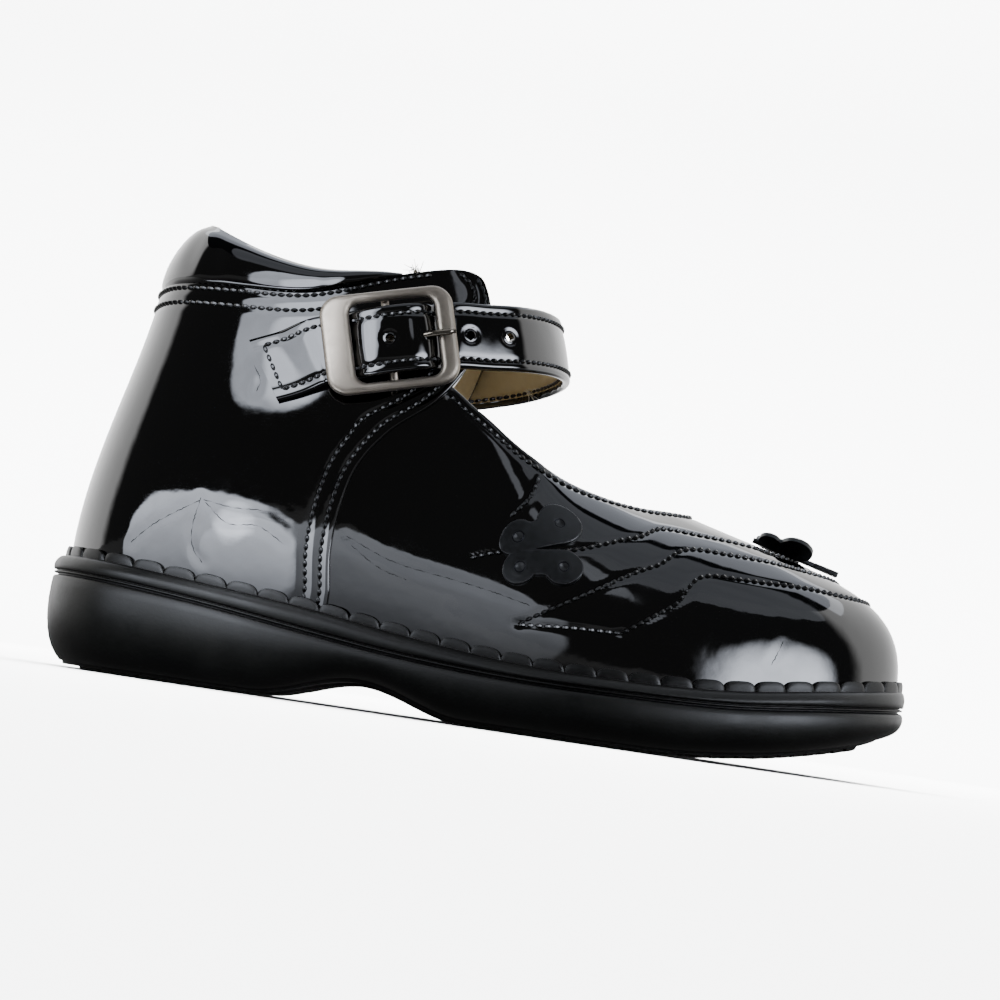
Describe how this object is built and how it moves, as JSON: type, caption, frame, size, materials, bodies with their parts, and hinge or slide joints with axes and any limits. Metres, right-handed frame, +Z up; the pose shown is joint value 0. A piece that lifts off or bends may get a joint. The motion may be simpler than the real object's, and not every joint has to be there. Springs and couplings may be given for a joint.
{
  "type": "mary jane shoe",
  "caption": "Toddler's right mary jane: a patent upper with a padded collar, an instep strap in a buckle, and a moulded rubber sole.",
  "frame": {"origin": "middle of the shoe's bounding box, on the ground that its sole stands on", "axes": "+X toward the toe, +Y toward the medial (inner) side, +Z up"},
  "size_m": [0.1518, 0.0646, 0.0808],
  "materials": {
    "outsole": "satin",
    "welt": "satin",
    "insole": "matte",
    "upper": "high gloss patent",
    "collar": "high gloss patent",
    "strap": "high gloss patent",
    "buckle_frame": "satin nickel plate",
    "buckle_prong": "satin nickel plate",
    "buckle_tab": "high gloss patent",
    "butterfly_body": "semi gloss",
    "butterfly_wing_lateral": "semi gloss",
    "butterfly_wing_medial": "semi gloss"
  },
  "bodies": {
    "root": {"outsole": "outsole", "welt": "welt", "insole": "insole", "upper": "upper", "collar": "collar", "strap": "strap", "buckle_frame": "buckle_frame", "buckle_prong": "buckle_prong", "buckle_tab": "buckle_tab", "butterfly_body": "butterfly_body", "butterfly_wing_lateral": "butterfly_wing_lateral", "butterfly_wing_medial": "butterfly_wing_medial"}
  },
  "joints": []
}
